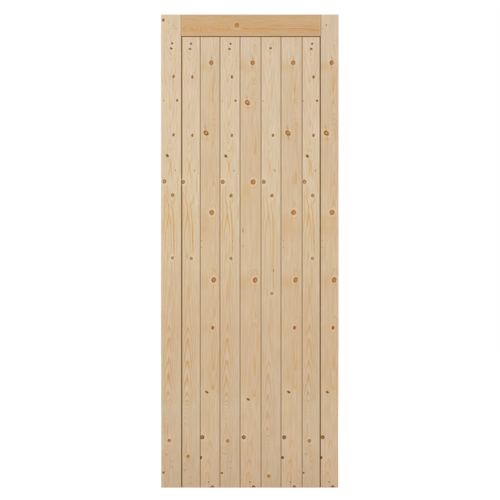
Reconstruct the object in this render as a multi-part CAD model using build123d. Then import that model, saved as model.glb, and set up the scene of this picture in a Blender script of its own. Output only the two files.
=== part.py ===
"""Framed, ledged and braced barn door leaf in softwood, about 762 x 44 x 2032 mm.

Two full-height stiles and a top rail carry the face. Seven vertical V-jointed boards fill the space
between them and run over the front of the middle and bottom ledges, down to the foot of the leaf.
The top rail and both ledges are through-tenoned into the stiles and wedged from the outer edges.
Two braces rise from the hinge stile, cut to fit the corners between stiles, ledges and rail.
Screws driven from the back hold the boards to the ledges and braces.

Frame: +X to the right seen from the face, +Y from the face to the back, +Z up.
Origin: centre of the leaf's foot. All lengths are in millimetres.
"""

import math
import os

from build123d import *

# Leaf and frame members
leaf_height = 2032.0
frame_thickness = 44.0
left_stile_width = 86.0
right_stile_width = 76.0
top_rail_width = 92.0
arris = 1.5  # small bevel on the outer edges of every member
shoulder_ease = 0.4  # hairline bevel where a rail or ledge meets a stile

# Boards. A board's cover is the width between its two joints; they are numbered from left to right
board_1_cover = 82.5
board_2_cover = 84.0
board_3_cover = 87.0
board_4_cover = 89.5
board_5_cover = 85.5
board_6_cover = 91.0
board_7_cover = 80.5
board_thickness = 17.0
vee = 3.0  # leg of the bevel on each side of a V joint
board_joint = 0.4  # gap left between two neighbouring shoulders
side_gap = 2.6  # open joint between an outer board and its stile
top_gap = 1.8  # open joint between the boards and the top rail

# Tongue and groove, the same section on board edges, board tops, stiles and top rail
tongue_setback = 7.0  # face to the near cheek of the tongue
tongue_thickness = 5.0
tongue_length = 7.0
tongue_nose = 0.8  # bevel that leads the tongue in
groove_play = 0.15  # clearance on each cheek of a tongue
groove_depth = 7.8

# Ledges, behind the boards
ledge_width = 190.0
middle_ledge_height = 850.0  # foot of the leaf to the underside of the middle ledge

# Braces, as thick as the ledges
brace_width = 94.0
brace_fit = 0.3  # gap left all round a brace end

# Mortise and tenon joints
tenon_thickness = 15.0
tenon_play = 0.1  # clearance on each cheek and edge of a tenon
haunch_length = 12.0
rail_tenon_width = 50.0
rail_tenon_margin = 6.0  # underside of the top rail to its tenon
ledge_tenon_width = 56.0  # each of the pair on a ledge
ledge_tenon_margin = 22.0  # edge of the middle ledge to its near tenon
bottom_tenon_margin = 34.0  # foot of the bottom ledge to its lower tenon
wedge_length = 52.0
wedge_butt = 5.0  # thickness at the stile's outer edge
wedge_tip = 1.0
wedge_play = 0.05

# Countersunk screws
screw_length = 38.0
screw_shank = 4.0  # diameter
screw_head = 8.0  # diameter
screw_point = 5.0  # length of the tapered point
screw_sink = 0.3  # head below the surface
screw_play = 0.1  # clearance round the shank and under the head
screw_end_play = 1.0  # pilot hole past the screw's point
drive_width = 4.6  # across the cross recess
drive_slot = 1.0
drive_depth = 1.6
ledge_screw_rise = 50.0  # each screw of a pair above or below the ledge's centre line
ledge_screw_share = 0.25  # each screw of a pair, as a share of its board, from the board's centre

overcut = 1.0  # how far a cutting block runs past the wood that it cuts

# Places that follow from the sizes above
board_covers = [
    board_1_cover,
    board_2_cover,
    board_3_cover,
    board_4_cover,
    board_5_cover,
    board_6_cover,
    board_7_cover,
]
panel_width = sum(board_covers)
leaf_width = left_stile_width + panel_width + right_stile_width
left_edge = -leaf_width / 2
right_edge = leaf_width / 2
panel_left = left_edge + left_stile_width
panel_right = right_edge - right_stile_width
face_y = -frame_thickness / 2
rail_underside = leaf_height - top_rail_width
ledge_thickness = frame_thickness - board_thickness
middle_ledge_top = middle_ledge_height + ledge_width
ledge_tenon_spacing = ledge_width - 2 * ledge_tenon_margin - ledge_tenon_width
tongue_far = tongue_setback + tongue_thickness
groove_near = tongue_setback - groove_play
groove_far = tongue_far + groove_play
tenon_far = board_thickness + tenon_thickness
board_shoulder = rail_underside - top_gap
board_joints = [panel_left + sum(board_covers[:n]) for n in range(len(board_covers) + 1)]
last_board = len(board_covers) - 1


def block(x_span, depth_span, z_span):
    """A rectangular block. Depths are measured back from the face."""
    size = [span[1] - span[0] for span in (x_span, depth_span, z_span)]
    centre = (
        sum(x_span) / 2,
        face_y + sum(depth_span) / 2,
        sum(z_span) / 2,
    )
    return Pos(*centre) * Box(*size)


def plan_extrusion(points, z_span):
    """A section drawn as (x, depth) points and run up from one height to another."""
    outline = Plane.XY.offset(z_span[0]) * make_face(
        Polyline([(x, face_y + depth) for x, depth in points], close=True)
    )
    return extrude(outline, amount=z_span[1] - z_span[0], dir=(0, 0, 1))


def side_extrusion(points, x_span):
    """A section drawn as (depth, z) points and run across from one x to another."""
    outline = Plane.YZ.offset(x_span[0]) * make_face(
        Polyline([(face_y + depth, z) for depth, z in points], close=True)
    )
    return extrude(outline, amount=x_span[1] - x_span[0], dir=(1, 0, 0))


def elevation_extrusion(points, depth_span):
    """An outline drawn as (x, z) points and run back from one depth to another."""
    outline = make_face(
        Polyline([(x, face_y + depth_span[0], z) for x, z in points], close=True)
    )
    return extrude(outline, amount=depth_span[1] - depth_span[0], dir=(0, 1, 0))


def eased_rectangle(span, other_span, eases):
    """A rectangle over two spans, each corner cut by its own bevel.
    Corners run low-low, high-low, high-high, low-high, and a bevel of 0 leaves a corner square."""
    (u0, u1), (v0, v1) = span, other_span
    low_low, high_low, high_high, low_high = eases
    points = [
        (u0 + low_low, v0),
        (u1 - high_low, v0),
        (u1, v0 + high_low),
        (u1, v1 - high_high),
        (u1 - high_high, v1),
        (u0 + low_high, v1),
        (u0, v1 - low_high),
        (u0, v0 + low_low),
    ]
    return [p for n, p in enumerate(points) if p != points[n - 1]]


# Tenons. A span is (lower z, upper z); each joint lists its through tenons and its haunch.

middle_centre = middle_ledge_height + ledge_width / 2
bottom_centre = bottom_tenon_margin + (ledge_tenon_width + ledge_tenon_spacing) / 2


def tenon_pair(centre):
    """The spans of a ledge's two tenons, equally spaced about one height."""
    half = ledge_tenon_width / 2
    middles = (centre - ledge_tenon_spacing / 2, centre + ledge_tenon_spacing / 2)
    return [(z - half, z + half) for z in middles]


rail_tenon_foot = rail_underside + rail_tenon_margin
tenons = {
    "top_rail": [(rail_tenon_foot, rail_tenon_foot + rail_tenon_width)],
    "middle_ledge": tenon_pair(middle_centre),
    "bottom_ledge": tenon_pair(bottom_centre),
}
haunches = {
    "top_rail": (rail_tenon_foot, leaf_height),
    "middle_ledge": (tenons["middle_ledge"][0][0], tenons["middle_ledge"][1][1]),
    "bottom_ledge": (0.0, tenons["bottom_ledge"][1][1]),
}
stile_sides = {
    # name: (shoulder x, outer edge x, direction from shoulder to outer edge)
    "left": (panel_left, left_edge, -1),
    "right": (panel_right, right_edge, 1),
}


def ordered(a, b):
    return (min(a, b), max(a, b))


def joint_tongues(member, side, play=0.0):
    """The through tenons and haunch that a member sends into one stile.
    A mortise is cut by the same shapes, grown by a clearance."""
    shoulder, outer, way = stile_sides[side]
    depth = (board_thickness - play, tenon_far + play)
    inward = shoulder - way * play
    parts = [
        block(ordered(inward, outer + way * play), depth, (low - play, high + play))
        for low, high in tenons[member]
    ]
    low, high = haunches[member]
    haunch_end = shoulder + way * (haunch_length + play)
    parts.append(block(ordered(inward, haunch_end), depth, (low - play, high + play)))
    return parts


def wedge(side, edge_z, way_up, play=0.0):
    """A tapered wedge between a tenon's edge and the flared end of its mortise."""
    shoulder, outer, way = stile_sides[side]
    tip_x = outer - way * wedge_length
    beyond = outer + way * play
    outline = [
        (beyond, edge_z),
        (beyond, edge_z + way_up * (wedge_butt + play)),
        (tip_x, edge_z + way_up * (wedge_tip + play)),
        (tip_x, edge_z),
    ]
    return elevation_extrusion(outline, (board_thickness - play, tenon_far + play))


def joint_wedges(member, side, play=0.0):
    """Two wedges for each through tenon, below and above it."""
    made = []
    for low, high in tenons[member]:
        made.append(wedge(side, low, -1, play))
        made.append(wedge(side, high, 1, play))
    return made


def stile(side):
    """A full-height stile with its board groove, mortises and wedge flares."""
    shoulder, outer, way = stile_sides[side]
    thickness = (0.0, frame_thickness)
    outer_eases = (arris, 0.0, 0.0, arris) if way < 0 else (0.0, arris, arris, 0.0)
    section = eased_rectangle(ordered(shoulder, outer), thickness, outer_eases)
    body = plan_extrusion(section, (0.0, leaf_height))
    ends = eased_rectangle(thickness, (0.0, leaf_height), (arris,) * 4)
    body &= side_extrusion(ends, ordered(shoulder, outer))
    body -= block(
        ordered(shoulder - way * overcut, shoulder + way * groove_depth),
        (groove_near, groove_far),
        (-overcut, rail_underside + groove_depth),
    )
    for member in tenons:
        for cutter in joint_tongues(member, side, tenon_play) + joint_wedges(member, side, wedge_play):
            body -= cutter
    return body


def top_rail():
    """The top rail, grooved along its underside for the boards' top tongues."""
    thickness = (0.0, frame_thickness)
    height = (rail_underside, leaf_height)
    section = eased_rectangle(thickness, height, (0.0, arris, arris, arris))
    rail = side_extrusion(section, (panel_left, panel_right))
    shoulders = eased_rectangle((panel_left, panel_right), thickness, (shoulder_ease,) * 4)
    rail &= plan_extrusion(shoulders, height)
    rail -= block(
        (panel_left, panel_right),
        (groove_near, groove_far),
        (rail_underside - overcut, rail_underside + groove_depth),
    )
    for side in stile_sides:
        for tongue in joint_tongues("top_rail", side):
            rail += tongue
    return rail


def screw_hole(x, z):
    """A screw's countersunk clearance hole, from the back of the leaf to past the screw's point."""
    back = frame_thickness
    shank = screw_shank / 2 + screw_play
    head = screw_head / 2 + screw_play
    sunk = back - screw_sink
    hole_end = sunk - screw_length - screw_end_play
    profile = [
        (0.0, back + overcut),
        (head, back + overcut),
        (head, sunk + screw_play),
        (shank, sunk - (screw_head - screw_shank) / 2),
        (shank, hole_end),
        (0.0, hole_end),
    ]
    return screw_turned(profile, x, z)


def screw_turned(profile, x, z):
    """A (radius, depth) profile turned about a screw's axis, which runs from face to back at (x, z)."""
    outline = make_face(
        Polyline([(x + radius, face_y + depth, z) for radius, depth in profile], close=True)
    )
    return revolve(outline, Axis((x, 0, z), (0, 1, 0)), 360)


def screw(x, z):
    """A countersunk screw with a tapered point and a cross recess."""
    sunk = frame_thickness - screw_sink
    shank = screw_shank / 2
    point = sunk - screw_length
    profile = [
        (0.0, sunk),
        (screw_head / 2, sunk),
        (shank, sunk - (screw_head - screw_shank) / 2),
        (shank, point + screw_point),
        (0.0, point),
    ]
    body = screw_turned(profile, x, z)
    recess = (sunk - drive_depth, sunk + overcut)
    across = (-drive_width / 2, drive_width / 2)
    slot = (-drive_slot / 2, drive_slot / 2)
    for x_half, z_half in ((across, slot), (slot, across)):
        body -= block(
            (x + x_half[0], x + x_half[1]),
            recess,
            (z + z_half[0], z + z_half[1]),
        )
    return body


def ledge_screw_places(centre_z):
    """Two staggered screws in each board."""
    places = []
    for n, cover in enumerate(board_covers):
        middle = board_joints[n] + cover / 2
        for way in (-1, 1):
            x = middle + way * cover * ledge_screw_share
            places.append((x, centre_z + way * ledge_screw_rise))
    return places


def brace_outline(z_low, z_high, grow=0.0):
    """The brace as (x, z) points: a strip along the opening's diagonal, cut to both corners."""
    x0 = panel_left + brace_fit
    x1 = panel_right - brace_fit
    z0 = z_low + brace_fit
    z1 = z_high - brace_fit
    slope = math.atan2(z1 - z0, x1 - x0)
    along_x = brace_width / 2 / math.sin(slope)
    along_z = brace_width / 2 / math.cos(slope)
    return [
        (x0, z0),
        (x0 + along_x, z0),
        (x1, z1 - along_z),
        (x1, z1),
        (x1 - along_x, z1),
        (x0, z0 + along_z),
    ]


def brace_screw_places(z_low, z_high):
    """One screw in each board, on the brace's centre line."""
    rise = (z_high - z_low) / (panel_right - panel_left)
    places = []
    for n, cover in enumerate(board_covers):
        middle = board_joints[n] + cover / 2
        places.append((middle, z_low + (middle - panel_left) * rise))
    return places


openings = {
    "lower_brace": (ledge_width, middle_ledge_height),
    "upper_brace": (middle_ledge_top, rail_underside),
}
screw_places = {
    "middle_ledge": ledge_screw_places(middle_centre),
    "bottom_ledge": ledge_screw_places(ledge_width / 2),
    "lower_brace": brace_screw_places(*openings["lower_brace"]),
    "upper_brace": brace_screw_places(*openings["upper_brace"]),
}


def ledge(name, foot_z):
    """A ledge behind the boards, with a pair of barefaced tenons at each end."""
    thickness = (board_thickness, frame_thickness)
    height = (foot_z, foot_z + ledge_width)
    section = eased_rectangle(thickness, height, (0.0, arris, arris, 0.0))
    body = side_extrusion(section, (panel_left, panel_right))
    shoulder_eases = (0.0, 0.0, shoulder_ease, shoulder_ease)
    shoulders = eased_rectangle((panel_left, panel_right), thickness, shoulder_eases)
    body &= plan_extrusion(shoulders, height)
    for side in stile_sides:
        for tongue in joint_tongues(name, side):
            body += tongue
    for x, z in screw_places[name]:
        body -= screw_hole(x, z)
    return body


def brace(name):
    """A brace between two ledges, or a ledge and the top rail."""
    body = elevation_extrusion(brace_outline(*openings[name]), (board_thickness, frame_thickness))
    slanted = [e for e in body.edges() if abs(e.center().Y - frame_thickness / 2) < 0.01]
    long_edges = sorted(slanted, key=lambda e: e.length)[-2:]
    body = chamfer(long_edges, arris)
    for x, z in screw_places[name]:
        body -= screw_hole(x, z)
    return body


def board_section(n):
    """The (x, depth) section of a board: V bevels on the face, groove on the left, tongue on the right.
    The first board has a tongue on both edges, because its left one goes into the stile."""
    left = board_joints[n] + (side_gap if n == 0 else board_joint / 2)
    right = board_joints[n + 1] - (side_gap if n == last_board else board_joint / 2)
    tip = right + tongue_length
    right_edge_points = [
        (right - vee, 0.0),
        (right, vee),
        (right, tongue_setback),
        (tip - tongue_nose, tongue_setback),
        (tip, tongue_setback + tongue_nose),
        (tip, tongue_far - tongue_nose),
        (tip - tongue_nose, tongue_far),
        (right, tongue_far),
        (right, board_thickness),
    ]
    if n == 0:
        tip = left - tongue_length
        left_points = [
            (left, board_thickness),
            (left, tongue_far),
            (tip + tongue_nose, tongue_far),
            (tip, tongue_far - tongue_nose),
            (tip, tongue_setback + tongue_nose),
            (tip + tongue_nose, tongue_setback),
            (left, tongue_setback),
        ]
    else:
        left_points = [
            (left, board_thickness),
            (left, groove_far),
            (left + groove_depth, groove_far),
            (left + groove_depth, groove_near),
            (left, groove_near),
        ]
    return right_edge_points + left_points + [(left, vee), (left + vee, 0.0)]


def board_side():
    """The (depth, z) profile of every board: an eased foot, and a tongue and bevel at the top."""
    tip = board_shoulder + tongue_length
    return [
        (arris, 0.0),
        (board_thickness, 0.0),
        (board_thickness, board_shoulder),
        (tongue_far, board_shoulder),
        (tongue_far, tip - tongue_nose),
        (tongue_far - tongue_nose, tip),
        (tongue_setback + tongue_nose, tip),
        (tongue_setback, tip - tongue_nose),
        (tongue_setback, board_shoulder),
        (vee, board_shoulder),
        (0.0, board_shoulder - vee),
        (0.0, arris),
    ]


def board(n):
    """One board: its section run up the leaf, trimmed by the side profile, with its screws' pilot holes."""
    section = board_section(n)
    left = min(x for x, _ in section)
    right = max(x for x, _ in section)
    body = plan_extrusion(section, (0.0, board_shoulder + tongue_length))
    body &= side_extrusion(board_side(), (left - overcut, right + overcut))
    for places in screw_places.values():
        for x, z in places:
            if board_joints[n] < x < board_joints[n + 1]:
                body -= screw_hole(x, z)
    return body


def as_solids(shape):
    """The solids of a boolean result, as one export."""
    solids = list(shape.solids())
    return solids[0] if len(solids) == 1 else Compound(children=solids)


def all_parts():
    """Every node of the door by name."""
    parts = {
        "left_stile": stile("left"),
        "right_stile": stile("right"),
        "top_rail": top_rail(),
        "middle_ledge": ledge("middle_ledge", middle_ledge_height),
        "bottom_ledge": ledge("bottom_ledge", 0.0),
        "upper_brace": brace("upper_brace"),
        "lower_brace": brace("lower_brace"),
    }
    for n in range(len(board_covers)):
        parts[f"board_{n + 1}"] = board(n)
    for member in tenons:
        for side in stile_sides:
            for n, piece in enumerate(joint_wedges(member, side)):
                parts[f"{member}_{side}_wedge_{n + 1}"] = piece
    for name, places in screw_places.items():
        parts[f"{name}_screws"] = Compound(children=[as_solids(screw(x, z)) for x, z in places])
    return parts


os.makedirs("parts", exist_ok=True)
for name, shape in all_parts().items():
    export_step(as_solids(shape) if not name.endswith("_screws") else shape, f"parts/{name}.step")
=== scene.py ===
import math
from functools import partial

import bpy
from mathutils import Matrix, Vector

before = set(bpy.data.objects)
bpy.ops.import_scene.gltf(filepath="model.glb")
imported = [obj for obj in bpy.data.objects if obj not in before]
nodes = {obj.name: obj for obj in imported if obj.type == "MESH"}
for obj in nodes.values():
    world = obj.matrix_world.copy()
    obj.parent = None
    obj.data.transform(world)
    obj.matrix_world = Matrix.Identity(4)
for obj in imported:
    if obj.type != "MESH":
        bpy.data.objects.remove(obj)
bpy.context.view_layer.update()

leafHeight = 2032.0  # mm, foot to top
faceDepth = -22.0  # mm, where the face lies on Y
print("frame loaded:", len(nodes), "nodes")


# One function adds any node: its properties come as keywords, its inputs as {socket: value or link}
def addNode(tree, kind, inputs=None, **settings):
    made = tree.nodes.new(kind)
    for name, value in settings.items():
        setattr(made, name, value)
    for socket, value in (inputs or {}).items():
        if isinstance(value, bpy.types.NodeSocket):
            tree.links.new(value, made.inputs[socket])
        else:
            made.inputs[socket].default_value = value
    return made.outputs


# sRGB hex to linear RGBA
def hexColor(code):
    channels = [int(code[i:i + 2], 16) / 255 for i in (1, 3, 5)]
    linear = [c / 12.92 if c <= 0.04045 else ((c + 0.055) / 1.055) ** 2.4 for c in channels]
    return (*linear, 1.0)


# Fills a colour ramp from (position, colour) pairs
def fillRamp(outputs, stops, interpolation="LINEAR"):
    ramp = outputs[0].node.color_ramp
    ramp.interpolation = interpolation
    while len(ramp.elements) < len(stops):
        ramp.elements.new(0.5)
    for element, (position, color) in zip(ramp.elements, stops):
        element.position = position
        element.color = color
    return outputs


mathNode = "ShaderNodeMath"
vectorNode = "ShaderNodeVectorMath"
mixNode = "ShaderNodeMix"  # for colours: 6 and 7 in, 2 out
rangeNode = "ShaderNodeMapRange"
noiseNode = "ShaderNodeTexNoise"
rampNode = "ShaderNodeValToRGB"
splitNode = "ShaderNodeSeparateXYZ"
joinNode = "ShaderNodeCombineXYZ"
shaderNode = "ShaderNodeBsdfPrincipled"
smooth = {"interpolation_type": "SMOOTHSTEP"}
colored = {"data_type": "RGBA"}
multiplied = {"data_type": "RGBA", "blend_type": "MULTIPLY"}
white = (1, 1, 1, 1)


def newGroup(name, inputs, outputs):
    tree = bpy.data.node_groups.new(name, "ShaderNodeTree")
    for label, kind in inputs:
        tree.interface.new_socket(label, in_out="INPUT", socket_type="NodeSocket" + kind)
    for label, kind in outputs:
        tree.interface.new_socket(label, in_out="OUTPUT", socket_type="NodeSocket" + kind)
    return tree, tree.nodes.new("NodeGroupInput").outputs, tree.nodes.new("NodeGroupOutput").inputs


# Sends values or links to the outputs of a group
def giveResult(tree, result, values):
    for label, value in values.items():
        if isinstance(value, bpy.types.NodeSocket):
            tree.links.new(value, result[label])
        else:
            result[label].default_value = value


def newMaterial(name):
    material = bpy.data.materials.new(name)
    material.use_nodes = True
    material.node_tree.nodes.clear()
    return material, material.node_tree


# Where each effect starts and ends, and what it runs from and to
spans = {
    "offAxis": (0.5, 1.6, 1.0, 0.25),  # lines are boldest near the board's axis
    "ringLuck": (0.0, 1.0, 0.8, 1.0),  # no two rings are equally dark
    "streak": (0.42, 0.66, 0.0, 1.0),
    "thread": (0.3, 0.7, 0.0, 1.0),
    "fibre": (0.25, 0.75, 0.955, 1.045),
    "mottle": (0.25, 0.75, 0.97, 1.03),
    "blush": (34.0, -26.0, 0.0, 0.75),  # in mm: a cloud lies to one side
    "endGrain": (0.75, 0.95, 0.0, 1.0),
    "tail": (1.25, 0.1, 0.0, 1.0),  # distances from a knot are in its radii
    "raggedTail": (0.25, 0.6, 0.3, 1.0),
    "centre": (0.75, 0.25, 0.0, 1.0),
    "halo": (2.3, 1.4, 0.0, 1.0),
    "haloPatch": (0.35, 0.65, 0.5, 1.0),
    "fringe": (1.6, 1.1, 0.0, 0.7),
    "knot": (1.15, 0.85, 0.0, 1.0),
    "roughness": (0.0, 1.0, 0.66, 0.54),
}


# Inputs of a Map Range node for one of these spans
def span(name, source):
    return dict(enumerate((source, *spans[name])))


# A knot is an oval about a place on the face. It pushes the growth rings aside, swells them into
# closed loops, and leaves its distance and its tones behind for the colour.
knotShape = {
    "eyeAcross": 0.42,  # how fast the disturbed grain settles across the board, per knot radius
    "eyeAlong": 0.2,  # and along it: the eye is longer than wide
    "tailAcross": 1.5,  # the stained streak that runs out of a knot above and below it
    "tailAlong": 0.28,
    "tailLean": 0.2,  # how much of the knot's lean the streak keeps
    "darkSide": (-0.4, 0, -0.1),  # bark is thicker on one side of a knot
    "depthReach": 5000.0,  # mm, so that a knot goes straight through the timber
    "push": -0.75,  # how far it pushes the grain, and how many rings it swells it by, per mm of radius
    "swell": 0.12,
    "halo": 0.45,  # strength of the pale ring round it
    "noKnot": 50.0,  # distance where there is none
}
soFar = [("Place", "Vector"), ("Nearest so far", "Float"), ("Tones so far", "Vector"),
         ("Swell so far", "Float"), ("Tail so far", "Float")]
knotTree, given, result = newGroup("knot", [
    *soFar, ("Centre", "Vector"), ("Lean", "Vector"), ("Radii", "Vector"), ("Push", "Float"),
    ("Tones", "Vector"), ("Swell", "Float")], soFar)
inKnot = partial(addNode, knotTree)
oval = {"Vector": given["Place"], "Location": given["Centre"], "Rotation": given["Lean"],
        "Scale": given["Radii"]}
away = inKnot("ShaderNodeMapping", oval, vector_type="TEXTURE")[0]
distance = inKnot(vectorNode, {0: away}, operation="LENGTH")["Value"]
isNearest = inKnot(mathNode, {0: distance, 1: given["Nearest so far"]}, operation="LESS_THAN")[0]
nearest = inKnot(mathNode, {0: distance, 1: given["Nearest so far"]}, operation="MINIMUM")[0]
darker = inKnot(vectorNode, {0: away, 1: knotShape["darkSide"]}, operation="DOT_PRODUCT")["Value"]
darker = inKnot(joinNode, {0: darker})[0]
sideTones = inKnot(vectorNode, {0: darker, 1: given["Tones"]}, operation="ADD")[0]
tones = inKnot(mixNode, {0: isNearest, 4: given["Tones so far"], 5: sideTones}, data_type="VECTOR")[1]
tailLean = {0: given["Lean"], "Scale": knotShape["tailLean"]}
oval["Rotation"] = inKnot(vectorNode, tailLean, operation="SCALE")[0]
tail = inKnot("ShaderNodeMapping", oval, vector_type="TEXTURE")[0]
tailSize = (knotShape["tailAcross"], 0, knotShape["tailAlong"])
tail = inKnot(vectorNode, {0: tail, 1: tailSize}, operation="MULTIPLY")[0]
tail = inKnot(vectorNode, {0: tail}, operation="LENGTH")["Value"]
tail = inKnot(mathNode, {0: tail, 1: given["Tail so far"]}, operation="MINIMUM")[0]
eyeSize = (knotShape["eyeAcross"], 0, knotShape["eyeAlong"])
eye = inKnot(vectorNode, {0: away, 1: eyeSize}, operation="MULTIPLY")[0]
eyeSquared = inKnot(vectorNode, {0: eye, 1: eye}, operation="DOT_PRODUCT")["Value"]
# The push is 1 at the centre and settles as 1 / (1 + distance squared) squared
spread = inKnot(mathNode, {0: eyeSquared, 1: 1.0}, operation="ADD")[0]
weight = inKnot(mathNode, {0: spread, 1: -2.0}, operation="POWER")[0]
push = inKnot(mathNode, {0: weight, 1: given["Push"]}, operation="MULTIPLY")[0]
place = inKnot(vectorNode, {0: away, 1: push, 2: given["Place"]}, operation="MULTIPLY_ADD")[0]
swell = {0: weight, 1: given["Swell"], 2: given["Swell so far"]}
swell = inKnot(mathNode, swell, operation="MULTIPLY_ADD")[0]
giveResult(knotTree, result, {"Place": place, "Nearest so far": nearest, "Tones so far": tones,
                              "Swell so far": swell, "Tail so far": tail})

# Knot lists: across and along the board in mm, radius in mm, rim tone (0 orange, 1 dark brown),
# centre tone (0 pale, 1 like the rim), lean in degrees, length over width
paleKnots = {
    "crown": (-33, 2008, 5, 0.55, 1, 8, 1.3),
    "twinUpper": (4.7, 1908.5, 4.3, 0.85, 1, 0, 1),
    "twinLower": (0.8, 1889.5, 4.9, 0.5, 1, 0, 1),
    "highRight": (10.7, 1766, 4.6, 0.45, 1, 5, 1.5),
    "shoulderRight": (26.1, 1664, 4.6, 0.55, 1, 0, 1.1),
    "shoulderLeft": (-32.6, 1663, 2.3, 0.25, 1, 0, 1),
    "upperRight": (10.7, 1515.5, 4.4, 0.45, 1, 5, 1.5),
    "upperLeft": (-15.8, 1426.5, 5.2, 0.8, 1, -35, 1.3),
    "faint": (19.3, 1364.5, 2.6, 0.15, 1, 0, 1.2),
    "ringed": (-28.7, 1315.5, 7.2, 0.6, 0.1, 0, 1.1),
    "fork": (6, 1257, 6.2, 0.5, 0.45, 20, 1.15),
    "haloed": (6, 986.5, 5.8, 0.6, 0.1, 0, 1.1),
    "resin": (12.8, 1059.5, 1.8, 0.3, 1, 0, 1.3),
    "lowCentre": (-7.7, 203, 6.6, 0.1, 0.6, 0, 1),
    "pinUpper": (2.6, 114, 1.9, 0.2, 1, 0, 1.4),
    "pinLower": (2.6, 88, 1.9, 0.2, 1, 0, 1.4),
    "footLeft": (-32.6, 65.5, 4.8, 0.45, 1, 0, 1),
    "crownPin": (10.3, 1983, 1.7, 0.15, 1, 0, 1.3),
    "crownPinRight": (21, 1972, 1.7, 0.15, 1, 0, 1.3),
}
pinkKnots = {
    "crownPin": (-17.5, 1987, 2.4, 0.5, 1, 0, 1.3),
    "crownDot": (-33.5, 1970, 1.6, 0.2, 1, 0, 1),
    "top": (5, 1825, 8.3, 0.55, 0.35, 15, 1.05),
    "leaning": (-17.5, 1523, 8.6, 0.6, 0.15, -42, 1.3),
    "middle": (7, 1182, 9, 0.2, 0.4, 20, 1.1),
    "resinUpper": (-36.7, 1061, 1.6, 0.3, 1, 0, 1.2),
    "resinLower": (-36.7, 1033, 1.6, 0.3, 1, 0, 1.2),
    "arched": (16, 892, 8.4, 0.5, 0.3, 20, 1.25),
    "small": (11.2, 687, 6, 0.35, 1, 10, 1.3),
    "dash": (-13.8, 410.5, 4.6, 0.8, 0.8, -65, 1.6),
    "dark": (-33.5, 216.5, 7.8, 1.3, 0.45, 0, 1),
    "edge": (-40, 131, 5.6, 0.95, 1, 0, 1.2),
    "footPin": (-6.5, 24.5, 2.9, 0.5, 1, 0, 1.2),
    "foot": (9.5, 3, 7, 0.8, 0.7, 0, 1),
}


# Figure, one row for each turn of the grain: along the board in mm, ring count on the board's axis, pith off
# the board's middle in mm, strength of the lines from 0 to 1, spacing of the rings in mm, bluntness of the
# arches in mm. A row without the last two keeps those before it. The grain closes in an arch wherever the
# count passes a whole number.
paleFigure = [
    (0, 9.9, -18, 0.3, 10, 16), (60, 9.6, -18, 0.35), (120, 9.3, -20, 0.6), (144, 9, -20, 1, 9.6, 16),
    (165, 8, -20, 0.9), (176, 7, -20, 0.8), (187, 6, -20, 0.8), (215, 5.6, -18, 0.3, 9, 16),
    (252, 5.85, -14, 0.6, 8, 4), (290, 6.1, -15, 0.5, 8, 8), (303, 7, -19, 0.6, 8, 12),
    (316, 8, -20, 0.4, 8, 14), (329, 9, -20, 0.4), (346, 10, -18, 0.4), (361, 11, -14, 0.7, 7, 14),
    (376, 12, -12.5, 1, 6.5, 14), (410, 13, -13, 1, 6.5, 16), (470, 13.9, -12, 1), (487, 14, -12, 1),
    (548, 15, -10, 1), (644, 16, -9, 0.85, 6.5, 20), (692, 17, -8, 0.85, 6.5, 14),
    (800, 17.8, -8, 0.45, 9, 12), (870, 18, -8, 0.5, 9, 9), (940, 18.15, -8, 0.5, 10, 8),
    (1004, 18.4, -7, 0.5, 10, 7), (1064, 18.6, -6, 0.55, 10, 6), (1137, 18.83, -6, 0.45, 8.5, 5),
    (1192, 19, -6, 0.4, 8, 4), (1229, 19.95, -11, 0.4, 8.5, 4), (1270, 19.6, -11, 0.4, 9, 6),
    (1330, 19.2, -6, 0.35, 9, 10), (1373, 19, -4, 0.35, 8, 16), (1410, 18.6, -4, 0.35),
    (1442, 18, -5, 0.5, 9, 12), (1474, 17, -6, 0.6, 12, 12), (1512, 16.5, -1, 0.5, 12, 6),
    (1545, 16, -6, 0.7, 12, 5), (1585, 15.6, 0, 0.5), (1622, 15, -5, 0.75), (1680, 14.6, 0, 0.5),
    (1738, 14, -6, 0.7, 13, 6), (1837, 13, -2, 0.65, 14, 6), (1859, 12, 0, 0.65), (1914, 11, -9, 0.6),
    (1953, 10, -12, 0.7), (1990, 9, -12, 0.5, 14, 8), (2032, 8.2, -12, 0.4),
]
pinkFigure = [
    (0, 1.2, -11, 0.6, 10, 12), (41, 1.6, -11.5, 0.5), (69, 2, -11.5, 0.6, 11, 12), (122, 3, -9, 0.6),
    (204, 4, -1, 0.5, 10, 12), (240, 4.3, 2, 0.6), (270, 4.5, 4, 0.35), (376, 4.5, 10, 0.35, 10, 10),
    (419, 4, 11.5, 0.8), (450, 3.7, 12, 0.55, 9, 12), (509, 3, 14.5, 0.8, 8.5, 12), (550, 2.75, 15, 0.5),
    (591, 2.4, 16, 0.4, 9, 10), (677, 2.6, 17, 0.35), (707, 3, 18, 0.75), (735, 3.95, 18, 0.6, 9, 8),
    (770, 4.08, 18, 0.7), (806, 4.3, 17, 0.4), (892, 4.5, 16, 0.4), (922, 5, 16, 0.6), (939, 6, 13, 0.6),
    (1020, 6.3, 12, 0.5), (1192, 6.4, 13, 0.35), (1235, 6.95, 14, 0.8), (1253, 7, 14, 0.9),
    (1290, 7.4, 15, 0.5), (1310, 7.9, 16, 0.8), (1345, 8, 17, 0.9), (1450, 8.4, 15, 0.4),
    (1500, 8.6, 14, 0.4), (1540, 9, 15, 0.4, 8, 12), (1562, 10, 15, 0.4), (1588, 11, 15, 0.4),
    (1609, 12, 15, 0.4), (1662, 12.93, 11, 0.85, 8, 8), (1680, 13.05, 11, 0.75), (1700, 13, 11, 1),
    (1780, 12.15, 12, 0.6), (1807, 12, 19, 0.9), (1870, 11.6, 16, 0.3), (1906, 12, 16, 0.6, 8, 10),
    (1919, 13, 16, 0.6), (2032, 13.6, 15, 0.35, 9, 10),
]
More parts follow.
